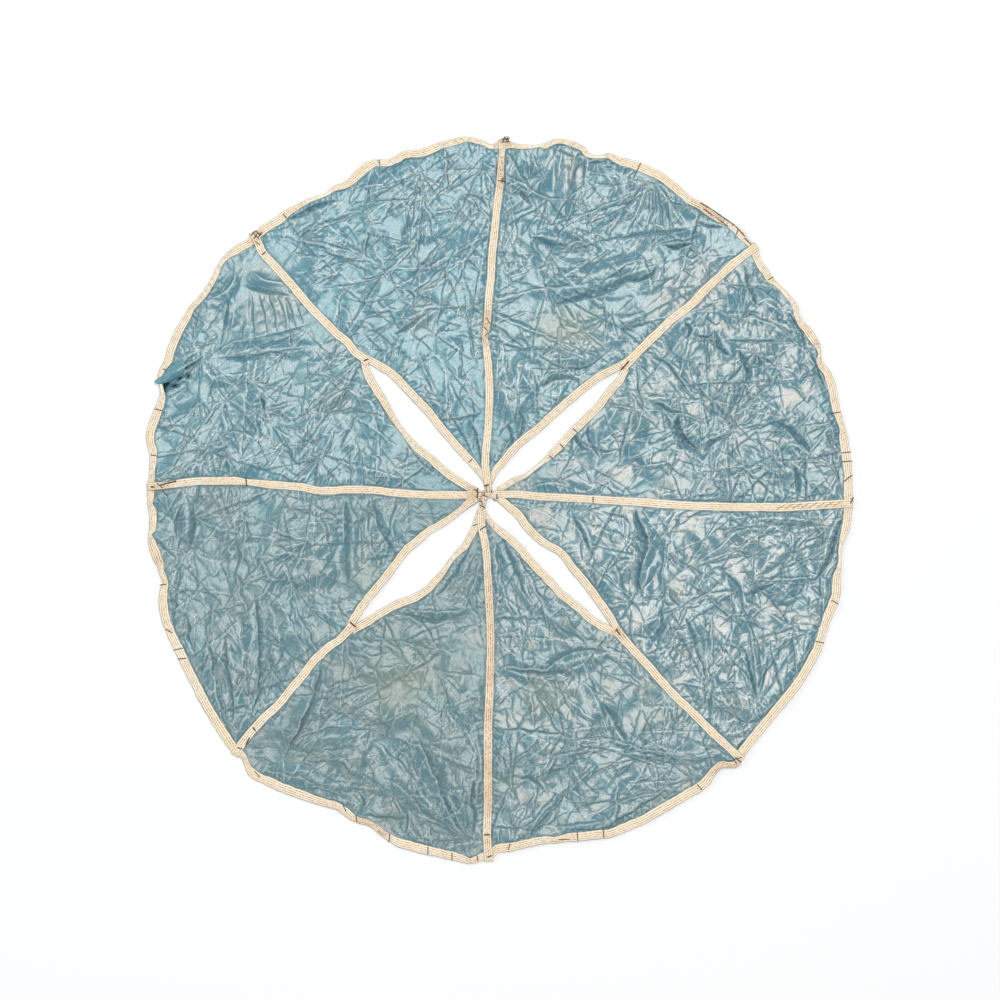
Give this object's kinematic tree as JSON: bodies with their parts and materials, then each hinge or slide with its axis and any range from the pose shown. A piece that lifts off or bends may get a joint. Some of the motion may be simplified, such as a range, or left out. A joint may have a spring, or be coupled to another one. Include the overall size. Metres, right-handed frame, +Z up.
{
  "type": "parachute canopy",
  "caption": "Small round drogue canopy spread flat: thin crumpled gores, taped rim and seams, open slots near the crown.",
  "frame": {"origin": "centre of the canopy's bounding box, on the surface it is spread on", "axes": "+Z up from the surface, +Y towards the upper edge of the spread canopy as laid out, +X to its right"},
  "size_m": [1.0612, 1.0892, 0.0143],
  "materials": {
    "cloth": "thin crumpled nylon with a soft sheen, blue green",
    "tape": "matte cream woven tape with rows of stitching"
  },
  "bodies": {
    "root": {"gore_1": "cloth", "gore_2": "cloth", "gore_3": "cloth", "gore_4": "cloth", "gore_5": "cloth", "gore_6": "cloth", "gore_7": "cloth", "gore_8": "cloth", "rim_tape_1": "tape", "rim_tape_2": "tape", "rim_tape_3": "tape", "rim_tape_4": "tape", "rim_tape_5": "tape", "rim_tape_6": "tape", "rim_tape_7": "tape", "rim_tape_8": "tape", "slot_tape_1": "tape", "slot_tape_2": "tape", "slot_tape_3": "tape", "slot_tape_4": "tape", "slot_tape_5": "tape", "slot_tape_6": "tape", "slot_tape_7": "tape", "slot_tape_8": "tape", "seam_tape_ns": "tape", "seam_tape_ew": "tape", "seam_tape_ne": "tape", "seam_tape_se": "tape", "seam_tape_sw": "tape", "seam_tape_nw": "tape"}
  },
  "joints": []
}
